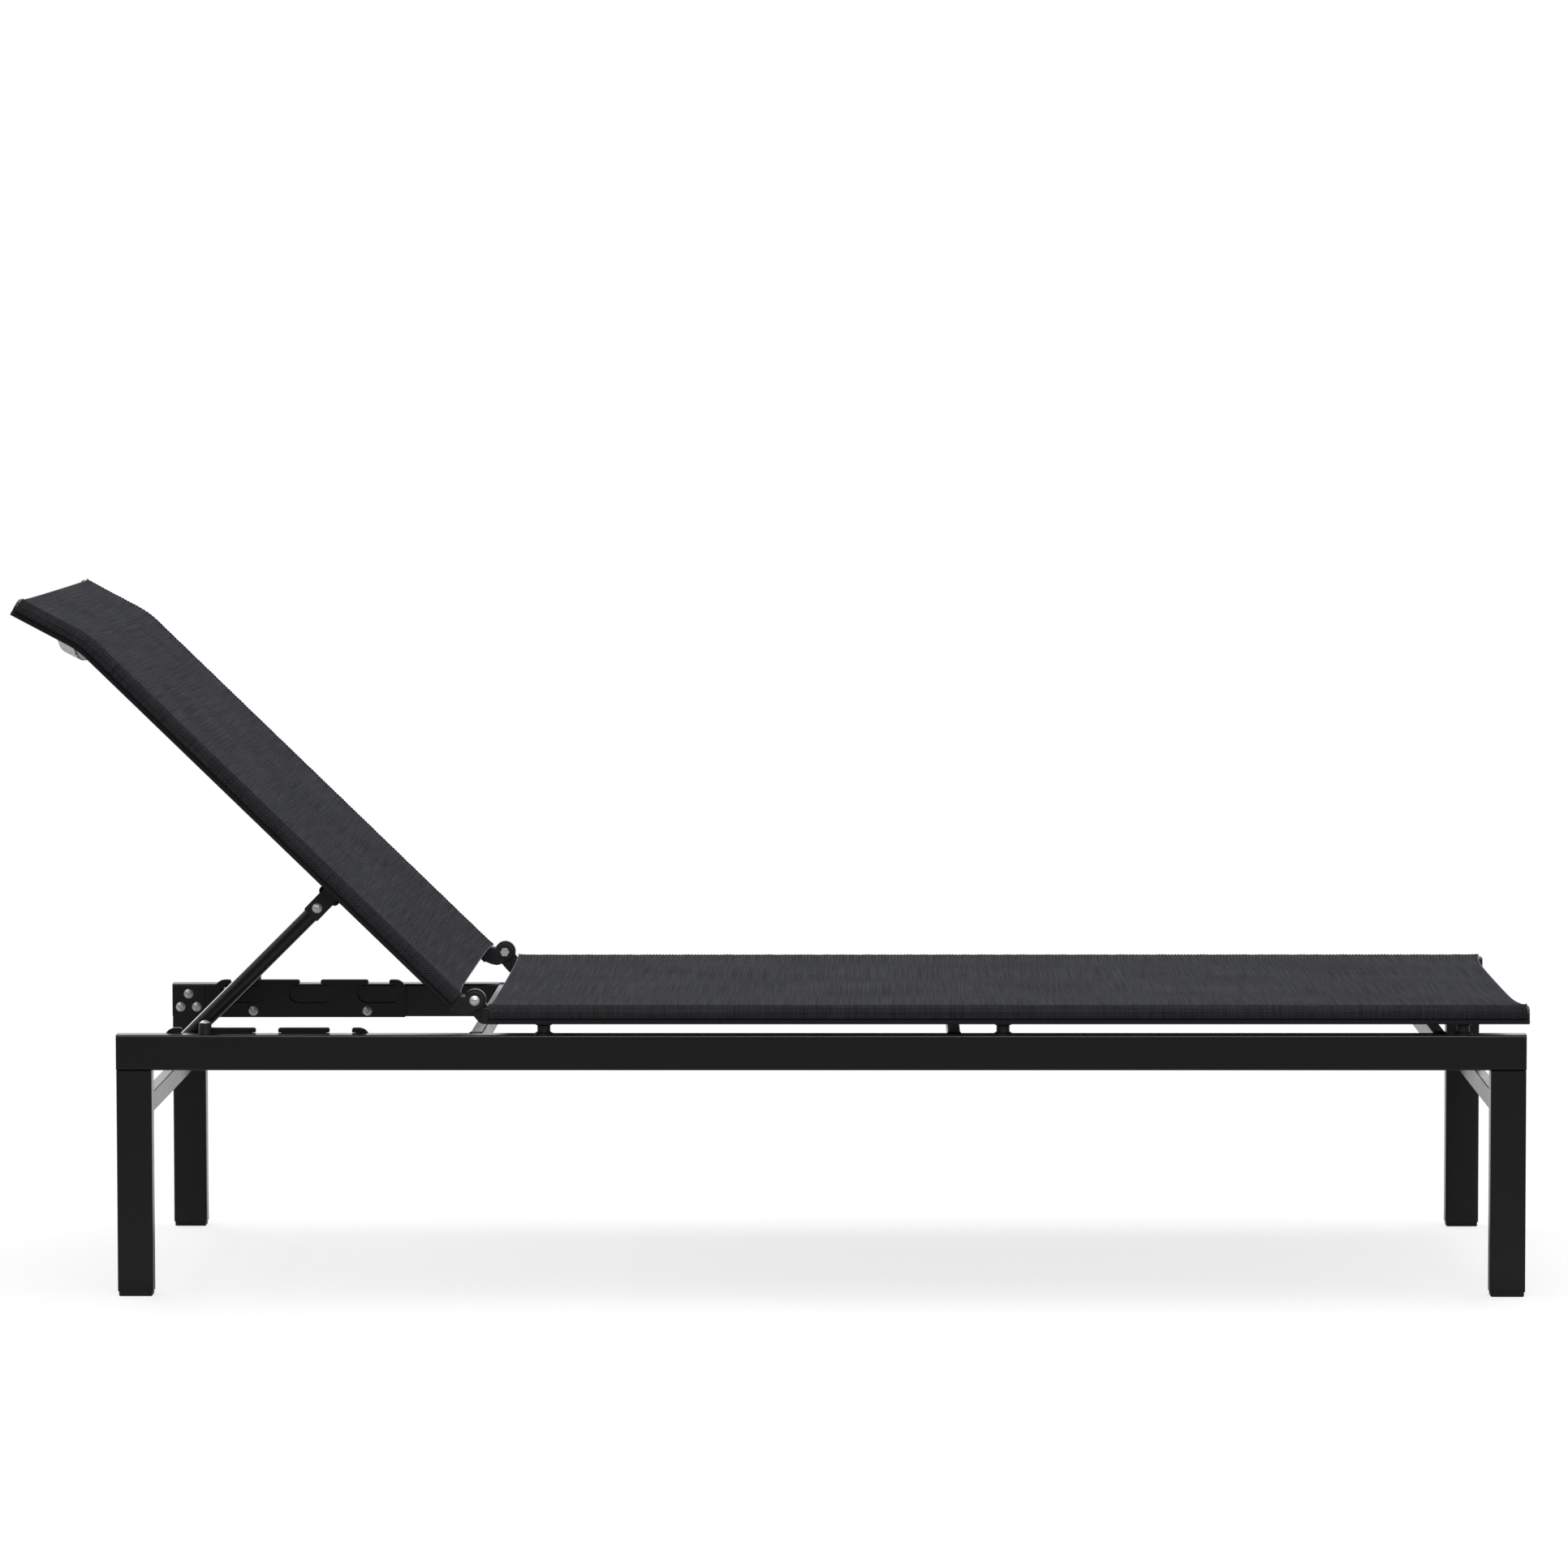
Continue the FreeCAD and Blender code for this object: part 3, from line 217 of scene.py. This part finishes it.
def sling_rows(run):
    """Places along a sling, closer together at its ends and round the bend."""
    start, end = run
    rows, s = [], start
    while s < end - 0.5:
        rows.append(s)
        from_end = min(s - start, end - s)
        step = 1.5 + min(from_end / 12.0, 6.5)
        if run is BACK_RUN and abs(s - BEND_START - BEND_ARC / 2) < 45:
            step = min(step, 3.0)
        s += step
    return rows + [end]


def make_cloth(name, place, run, material, body, node):
    out_to_in = [0.0, 1.5, 4, 8, 14, 22, 34, 50, 70, 95, 125, 160, 200, 240, 285, SHOULDER_OUT]
    rim = [SHOULDER_ARC * k / 8 for k in range(8, 0, -1)]
    tail = [SHOULDER_ARC + TAIL_DROP + TAIL_IN, SHOULDER_ARC + TAIL_DROP, SHOULDER_ARC + TAIL_DROP / 2]
    half = tail + rim + [-d for d in out_to_in]
    columns = [(-1, p) for p in half] + [(1, p) for p in reversed(half[:-1])]
    rows = sling_rows(run)
    verts, weave = [], []
    for s in rows:
        for side, p in columns:
            verts.append(cloth_point(place, run, s, side, p))
            weave.append(weave_at(s, side, p, 0.0))
    n = len(columns)
    faces = [(i * n + j, i * n + j + 1, (i + 1) * n + j + 1, (i + 1) * n + j)
             for i in range(len(rows) - 1) for j in range(n - 1)]
    if place is back_place:
        faces = [f[::-1] for f in faces]
    made = new_object(name, verts, faces, material, weave)
    solid = made.modifiers.new("thickness", "SOLIDIFY")
    solid.thickness, solid.offset, solid.use_even_offset = CLOTH_THICK * MM, 0.0, True
    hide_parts(node)
    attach(made, body)
    return made


def make_band(name, place, run, side, material, body):
    """Second layer that carries the keder, from the slot over the shoulder to a slightly uneven raw edge."""
    steps = round((run[1] - run[0]) / BAND_STEP)
    rows = [run[0] + (run[1] - run[0]) * i / steps for i in range(steps + 1)]
    lift = (CLOTH_THICK + BAND_THICK) / 2
    across = [SHOULDER_ARC + TAIL_DROP - 0.4, SHOULDER_ARC + 2.0]
    across += [SHOULDER_ARC * k / 8 for k in range(8, 0, -1)]
    verts, weave = [], []
    for s in rows:
        edge = -BAND_OVER + rng.uniform(-BAND_RAGGED, BAND_RAGGED)
        places = across + [0.0, edge]
        for p in places:
            verts.append(cloth_point(place, run, s, side, p, lift))
            weave.append(weave_at(s, side, p, 1.0 - BAND_FADE * max(p, 0.0) / SHOULDER_ARC))
    n = len(across) + 2
    faces = [(i * n + j, i * n + j + 1, (i + 1) * n + j + 1, (i + 1) * n + j)
             for i in range(len(rows) - 1) for j in range(n - 1)]
    if (side > 0) != (place is back_place):
        faces = [f[::-1] for f in faces]
    made = new_object(name, verts, faces, material, weave)
    solid = made.modifiers.new("thickness", "SOLIDIFY")
    solid.thickness, solid.offset = BAND_THICK * MM, 0.0
    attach(made, body)
    return made


def make_threads(name, place, run, material, body):
    """Stitches along both bands and loose thread ends at the corners."""
    threads = Tubes()
    lift = CLOTH_THICK / 2 + BAND_THICK
    for side in (-1, 1):
        for row in STITCH_ROWS:
            s = run[0] + 2.0
            while s < run[1] - STITCH_LENGTH - 1.0:
                p = row + rng.uniform(-0.12, 0.12)
                line = [cloth_point(place, run, s + STITCH_LENGTH * t, side, p, lift + dip)
                        for t, dip in ((0, -0.3), (0.2, 0.12), (0.5, 0.24), (0.8, 0.12), (1, -0.3))]
                threads.add(line, STITCH_RADIUS * MM, 5)
                s += STITCH_PITCH
        for s, way in ((run[0], -1), (run[1], 1)):
            for _ in range(LOOSE_THREADS):
                p, reach = rng.uniform(-2.0, 14.0), rng.uniform(0.8, 2.3)
                bend, drift = rng.uniform(0.1, 0.8), rng.uniform(-1.0, 1.0)
                inside = s - way * 1.2
                line = [cloth_point(place, run, inside, side, p + drift * t * t, lift + bend * t * t)
                        for t in (0, 0.5, 1)]
                before = cloth_point(place, run, s - way * 4.0, side, p)
                along = (cloth_point(place, run, s, side, p) - before).normalized()
                line = [q + along * reach * t * MM for q, t in zip(line, (0, 0.5, 1))]
                threads.add(line, [0.32 * MM, 0.28 * MM, 0.2 * MM], 5)
    return threads.make(name, material, body)


def make_end_seals(name, place, run, material, body):
    """Heat-sealed rims of the two free ends."""
    seals = Tubes()
    widths = [SHOULDER_ARC * k / 6 for k in range(7, 0, -1)]
    widths += [0.0, -3, -8, -16, -30, -50, -80, -120, -170, -230, -290]
    ends = [(-1, p) for p in widths] + [(1, p) for p in reversed(widths)]
    for s in run:
        line = [cloth_point(place, run, s, side, p) for side, p in ends]
        seals.add(line, [(SEAL_RADIUS + rng.uniform(-SEAL_UNEVEN, SEAL_UNEVEN)) * MM for _ in line], 8)
    return seals.make(name, material, body)


def make_sling(name, place, run, body, node, cloth, sealed, thread):
    main = make_cloth(name + "_cloth", place, run, cloth, body, node)
    extras = [make_band(f"{name}_band_{word}", place, run, side, cloth, body)
              for word, side in (("right", -1), ("left", 1))]
    extras.append(make_threads(name + "_threads", place, run, thread, body))
    extras.append(make_end_seals(name + "_end_seals", place, run, sealed, body))


# ---- weld beads ----
def bead(tubes, corners, radius, closed=True):
    """Rippled bead along a line of corners, in metres."""
    points = []
    count = len(corners)
    for i in range(count if closed else count - 1):
        a, b = corners[i], corners[(i + 1) % count]
        steps = max(round((b - a).length / (1.1 * MM)), 1)
        points += [a.lerp(b, k / steps) for k in range(steps)]
    if not closed:
        points.append(corners[-1])
    radii = [radius * (1 + BEAD_RIPPLE * math.sin(2.4 * i)) * MM for i in range(len(points))]
    tubes.add(points, radii, 8, closed)


def cross_member_beads(material):
    """Beads round both ends of each cross member, where it meets a rail or a leg."""
    beads = Tubes()
    for node in ("crossbar_hinge", "crossbar_middle", "crossbar_foot", "stretcher_head", "stretcher_foot"):
        low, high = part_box(node)
        cut = 1.2 * MM
        for y in (low.y + 0.4 * MM, high.y - 0.4 * MM):
            ring = [(low.x, low.z + cut), (low.x + cut, low.z),
                    (high.x - cut, low.z), (high.x, low.z + cut),
                    (high.x, high.z - cut), (high.x - cut, high.z),
                    (low.x + cut, high.z), (low.x, high.z - cut)]
            bead(beads, [Vector((x, y, z)) for x, z in ring], MEMBER_BEAD)
    return beads.make("cross_member_welds", material, "frame")


def prop_beads(material):
    """Beads where the two arms stand on the prop rod."""
    beads = Tubes()
    pivot = Vector(next(j["pos_m"] for j in frame["joints"] if j["name"] == "prop_swing"))
    low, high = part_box("prop_rod")
    rod = Vector(((low.x + high.x) / 2, 0, (low.z + high.z) / 2))
    radius = (high.z - low.z) / 2
    up = (pivot - rod).normalized()
    across = up.cross(Vector((0, 1, 0)))
    for node in ("prop_arm_right", "prop_arm_left"):
        arm_low, arm_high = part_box(node)
        middle = rod + Vector((0, (arm_low.y + arm_high.y) / 2, 0))
        ring = []
        for k in range(40):
            turn = 2 * math.pi * k / 40
            rise = math.sqrt(max(radius ** 2 - (radius * math.sin(turn)) ** 2, (0.45 * radius) ** 2))
            out = Vector((0, 1, 0)) * math.cos(turn) + across * math.sin(turn)
            ring.append(middle + out * (radius + 0.5 * MM) + up * (rise + 0.6 * MM))
        bead(beads, ring, PROP_BEAD)
    return beads.make("prop_welds", material, "prop")


# ---- materials ----
class Paint:
    """Short hand for a node material round one Principled shader."""

    def __init__(self, name, **sockets):
        self.material = bpy.data.materials.new(name)
        self.material.use_nodes = True
        self.tree = self.material.node_tree
        self.shader = self.tree.nodes["Principled BSDF"]
        for key, value in sockets.items():
            self.shader.inputs[key.replace("_", " ")].default_value = value

    def node(self, kind, inputs=(), **settings):
        made = self.tree.nodes.new(kind)
        for key, value in settings.items():
            setattr(made, key, value)
        for key, value in dict(inputs).items():
            self.put(made.inputs[key], value)
        return made

    def put(self, socket, value):
        if isinstance(value, bpy.types.NodeSocket):
            self.tree.links.new(value, socket)
        else:
            socket.default_value = value

    def math(self, operation, a, b=0.0, c=0.0):
        made = self.node("ShaderNodeMath", operation=operation)
        for socket, value in zip(made.inputs, (a, b, c)):
            self.put(socket, value)
        return made.outputs[0]

    def noise(self, vector, scale, detail=2.0):
        made = self.node("ShaderNodeTexNoise", {"Vector": vector, "Scale": scale, "Detail": detail})
        return made.outputs["Fac"]

    def span(self, value, low, high, to_low, to_high, smooth=False):
        made = self.node("ShaderNodeMapRange", {"Value": value, "From Min": low, "From Max": high,
                                                "To Min": to_low, "To Max": to_high})
        made.interpolation_type = "SMOOTHSTEP" if smooth else "LINEAR"
        return made.outputs["Result"]

    def colours(self, value, stops):
        ramp = self.node("ShaderNodeValToRGB", {"Fac": value})
        for i, (place, colour) in enumerate(stops):
            stop = ramp.color_ramp.elements[i] if i < 2 else ramp.color_ramp.elements.new(place)
            stop.position, stop.color = place, (*colour, 1.0)
        return ramp.outputs["Color"]

    def bump(self, height, strength, distance):
        made = self.node("ShaderNodeBump", {"Height": height, "Strength": strength, "Distance": distance})
        self.put(self.shader.inputs["Normal"], made.outputs["Normal"])

    def place(self):
        return self.node("ShaderNodeTexCoord").outputs["Object"]

    def stretched(self, vector, scale):
        made = self.node("ShaderNodeVectorMath", operation="MULTIPLY")
        self.put(made.inputs[0], vector)
        made.inputs[1].default_value = scale
        return made.outputs[0]


def coat(name, dark, light, rough, grain, bump):
    """Powder coat: orange peel in the bump, with slow changes of tone and gloss."""
    paint = Paint(name, Specular_IOR_Level=0.5)
    place = paint.place()
    slow = paint.noise(place, 9.0, 3.0)
    fine = paint.noise(place, grain, 2.0)
    tone = paint.math("ADD", paint.math("MULTIPLY", slow, 0.6), paint.math("MULTIPLY", fine, 0.4))
    paint.put(paint.shader.inputs["Base Color"], paint.colours(tone, [(0.3, dark), (0.7, light)]))
    gloss = paint.math("ADD", paint.span(slow, 0.3, 0.7, rough - 0.03, rough + 0.03),
                       paint.span(fine, 0.3, 0.7, -0.02, 0.02))
    paint.put(paint.shader.inputs["Roughness"], gloss)
    paint.bump(fine, bump, 0.0002)
    return paint.material


def steel(name):
    """Bright plated steel with fine turning marks, partly diffuse so that it stays bright in a dim front."""
    paint = Paint(name, Metallic=0.6)
    place = paint.place()
    slow = paint.noise(place, 160.0, 3.0)
    marks = paint.noise(paint.stretched(place, (2600.0, 700.0, 2600.0)), 1.0, 2.0)
    paint.put(paint.shader.inputs["Base Color"],
              paint.colours(slow, [(0.35, (0.70, 0.71, 0.71)), (0.65, (0.86, 0.87, 0.87))]))
    paint.put(paint.shader.inputs["Roughness"], paint.span(marks, 0.3, 0.7, 0.28, 0.42))
    paint.bump(marks, 0.25, 0.0001)
    return paint.material


def textile(name):
    """Plain weave of coated yarns: a crown on each crossing, dark gaps, warp and weft of different tone.

    The weave attribute's third value darkens the bands and makes their crossings stand out.
    """
    paint = Paint(name, Specular_IOR_Level=0.0)
    vector = paint.node("ShaderNodeAttribute", attribute_name="weave").outputs["Vector"]
    along, across, layer = paint.node("ShaderNodeSeparateXYZ", {"Vector": vector}).outputs
    drift = paint.noise(vector, 34.0, 2.0)
    wander = paint.math("MULTIPLY", paint.math("SUBTRACT", drift, 0.5), 0.9)
    warp = paint.math("SINE", paint.math("MULTIPLY_ADD", along, math.pi / WARP_HALF, wander))
    weft = paint.math("SINE", paint.math("MULTIPLY_ADD", across, math.pi / WEFT_HALF, wander))
    crossing = paint.math("MULTIPLY", warp, weft)
    crown = paint.math("POWER", paint.math("ABSOLUTE", crossing), 0.6)
    over = paint.span(crossing, -0.25, 0.25, 0.0, 1.0, True)
    pick = paint.noise(paint.stretched(vector, (620.0, 5.0, 1.0)), 1.0, 2.0)
    end = paint.noise(paint.stretched(vector, (4.0, 560.0, 1.0)), 1.0, 2.0)
    cloud = paint.noise(vector, 7.0, 3.0)
    tone = paint.math("ADD", paint.math("MULTIPLY", crown, 0.34), paint.math("MULTIPLY", over, 0.4))
    tone = paint.math("ADD", tone, paint.span(pick, 0.3, 0.7, -0.1, 0.1))
    tone = paint.math("ADD", tone, paint.span(end, 0.3, 0.7, -0.05, 0.05))
    tone = paint.math("ADD", tone, paint.span(cloud, 0.3, 0.7, -0.04, 0.04))
    tone = paint.math("SUBTRACT", tone, paint.math("MULTIPLY", layer, 0.27))
    knots = paint.math("MULTIPLY", layer, paint.span(crown, 0.3, 0.9, -0.2, 0.25))
    tone = paint.math("ADD", tone, knots)
    stops = [(0.0, (0.0075, 0.0077, 0.0086)), (0.8, (0.082, 0.0835, 0.092)), (0.4, (0.0325, 0.0331, 0.0367))]
    paint.put(paint.shader.inputs["Base Color"], paint.colours(tone, stops))
    paint.put(paint.shader.inputs["Roughness"], paint.span(crown, 0.0, 1.0, 0.88, 0.66))
    paint.bump(crown, 0.55, 0.00035)
    return paint.material


def thread_paint(name, dark, light, rough):
    """Twisted polyester thread, or the fused rim of the cloth."""
    paint = Paint(name, Specular_IOR_Level=0.35)
    place = paint.place()
    twist = paint.noise(paint.stretched(place, (1900.0, 1900.0, 1900.0)), 1.0, 1.0)
    paint.put(paint.shader.inputs["Base Color"], paint.colours(twist, [(0.35, dark), (0.65, light)]))
    paint.put(paint.shader.inputs["Roughness"], paint.span(twist, 0.3, 0.7, rough - 0.08, rough + 0.08))
    paint.bump(twist, 0.4, 0.0002)
    return paint.material


slot_paint = {
    "powder_coat": coat("powder_coat", (0.0042, 0.0042, 0.0045), (0.0060, 0.0060, 0.0064), 0.23, 900.0, 0.10),
    "plate_black": coat("plate_black", (0.0055, 0.0055, 0.0058), (0.0080, 0.0080, 0.0085),
                        0.30, 1100.0, 0.14),
    "cast_black": coat("cast_black", (0.0070, 0.0070, 0.0074), (0.0125, 0.0125, 0.0130), 0.38, 700.0, 0.22),
    "black_plastic": coat("black_plastic", (0.0080, 0.0080, 0.0083), (0.0125, 0.0125, 0.0130),
                          0.43, 1500.0, 0.20),
    "keder_cord": coat("keder_cord", (0.0100, 0.0100, 0.0104), (0.0170, 0.0170, 0.0175), 0.50, 1700.0, 0.25),
    "fastener_steel": steel("fastener_steel"),
    "sling_fabric": textile("sling_fabric"),
}
weld = coat("weld", (0.0080, 0.0080, 0.0085), (0.0170, 0.0170, 0.0178), 0.33, 620.0, 0.3)
thread = thread_paint("thread", (0.010, 0.010, 0.011), (0.034, 0.034, 0.037), 0.6)
sealed = thread_paint("sealed_rim", (0.008, 0.008, 0.009), (0.020, 0.020, 0.022), 0.48)
for part in frame["record"]["subparts"]:
    for slot in nodes[part["node"]].material_slots:
        slot.material = slot_paint[part["material_slot"]]

# ---- slings and welds ----
make_sling("seat", seat_place, SEAT_RUN, "frame", "seat_sling",
           slot_paint["sling_fabric"], sealed, thread)
make_sling("backrest", back_place, BACK_RUN, "backrest", "backrest_sling",
           slot_paint["sling_fabric"], sealed, thread)
cross_member_beads(weld)
prop_beads(weld)


# ---- studio ----
def make_floor():
    """Large floor: to the camera pale with a soft contact shadow, fading to white round the lounger.

    To other rays it is a plain grey, dimmer in front, so that the tubes stay dark.
    """
    half = 40.0
    corners = [(-half, -half, 0), (half, -half, 0), (half, half, 0), (-half, half, 0)]
    paint = Paint("floor", Roughness=0.9)
    place = paint.place()
    depth = paint.node("ShaderNodeSeparateXYZ", {"Vector": place}).outputs["Y"]
    paint.put(paint.shader.inputs["Base Color"], paint.colours(
        paint.span(depth, -1.5, 1.5, 0.0, 1.0, True), [(0.0, (0.2, 0.2, 0.2)), (1.0, (0.5, 0.5, 0.5))]))
    away = paint.node("ShaderNodeVectorMath", {"Vector": place}, operation="LENGTH").outputs["Value"]
    bright = paint.node("ShaderNodeBsdfDiffuse", {"Color": (0.9, 0.9, 0.9, 1.0)})
    glow = paint.node("ShaderNodeEmission", {"Color": (1.0, 1.0, 1.0, 1.0), "Strength": 1.0})
    seen = paint.node("ShaderNodeMixShader", {"Fac": paint.span(away, 1.1, 2.6, 0.74, 1.0, True)})
    paint.put(seen.inputs[1], bright.outputs[0])
    paint.put(seen.inputs[2], glow.outputs[0])
    to_camera = paint.node("ShaderNodeLightPath").outputs["Is Camera Ray"]
    pick = paint.node("ShaderNodeMixShader", {"Fac": to_camera})
    paint.put(pick.inputs[1], paint.shader.outputs[0])
    paint.put(pick.inputs[2], seen.outputs[0])
    paint.put(paint.tree.nodes["Material Output"].inputs["Surface"], pick.outputs[0])
    floor = new_object("floor", [Vector(c) for c in corners], [(0, 1, 2, 3)], paint.material)


def make_world():
    """Studio: bright above and behind the lounger, dim in front, and white wherever the camera looks."""
    world = bpy.data.worlds.new("studio")
    bpy.context.scene.world = world
    world.use_nodes = True
    tree = world.node_tree
    tree.nodes.clear()

    def add(kind, **settings):
        made = tree.nodes.new(kind)
        for key, value in settings.items():
            setattr(made, key, value)
        return made

    def span(source, low, high, to_low, to_high):
        made = add("ShaderNodeMapRange", interpolation_type="SMOOTHSTEP")
        tree.links.new(source, made.inputs["Value"])
        for key, value in (("From Min", low), ("From Max", high), ("To Min", to_low), ("To Max", to_high)):
            made.inputs[key].default_value = value
        return made.outputs["Result"]

    axes = add("ShaderNodeSeparateXYZ")
    tree.links.new(add("ShaderNodeTexCoord").outputs["Generated"], axes.inputs[0])
    back = span(axes.outputs["Y"], -0.35, 0.45, 0.06, 1.1)
    above = span(axes.outputs["Z"], 0.25, 0.75, 0.0, 1.0)
    level = add("ShaderNodeMath", operation="MAXIMUM")
    tree.links.new(back, level.inputs[0])
    tree.links.new(above, level.inputs[1])
    surround, white = add("ShaderNodeBackground"), add("ShaderNodeBackground")
    surround.inputs["Color"].default_value = (0.985, 0.985, 1.0, 1.0)
    white.inputs["Color"].default_value = (1.0, 1.0, 1.0, 1.0)
    white.inputs["Strength"].default_value = 1.0
    tree.links.new(level.outputs[0], surround.inputs["Strength"])
    mix, output = add("ShaderNodeMixShader"), add("ShaderNodeOutputWorld")
    tree.links.new(add("ShaderNodeLightPath").outputs["Is Camera Ray"], mix.inputs[0])
    tree.links.new(surround.outputs[0], mix.inputs[1])
    tree.links.new(white.outputs[0], mix.inputs[2])
    tree.links.new(mix.outputs[0], output.inputs["Surface"])


def area_light(name, place, target, size, power):
    light = bpy.data.lights.new(name, "AREA")
    light.shape, light.size, light.size_y, light.energy = "RECTANGLE", size[0], size[1], power
    made = bpy.data.objects.new(name, light)
    made.location = place
    made.rotation_euler = (Vector(target) - Vector(place)).to_track_quat("-Z", "Y").to_euler()
    bpy.context.scene.collection.objects.link(made)


def make_camera():
    """Long lens, almost level, square to the lounger's side."""
    data = bpy.data.cameras.new("camera")
    data.lens, data.sensor_width, data.clip_end = 153.79, 36.0, 200.0
    camera = bpy.data.objects.new("camera", data)
    yaw, pitch, roll = -0.0154, 0.0666, 0.0016
    ahead = Vector((math.sin(yaw) * math.cos(pitch), math.cos(yaw) * math.cos(pitch), -math.sin(pitch)))
    level = Vector((math.cos(yaw), -math.sin(yaw), 0))
    down = ahead.cross(level)
    right = level * math.cos(roll) + down * math.sin(roll)
    down = down * math.cos(roll) - level * math.sin(roll)
    turn = Matrix((right, -down, -ahead)).transposed().to_4x4()
    camera.matrix_world = Matrix.Translation((0.140412, -8.375359, 1.157785)) @ turn
    bpy.context.scene.collection.objects.link(camera)
    bpy.context.scene.camera = camera


make_floor()
make_world()
area_light("overhead", (0.0, 0.6, 4.2), (0.0, 0.0, 0.3), (4.5, 3.0), 115.0)
area_light("front_top", (0.5, -4.6, 3.0), (0.0, 0.0, 0.4), (3.6, 1.4), 62.0)
area_light("rim", (-2.4, 3.4, 1.6), (-0.4, 0.0, 0.4), (1.6, 2.2), 35.0)
make_camera()
bpy.context.scene.view_settings.view_transform = "Standard"
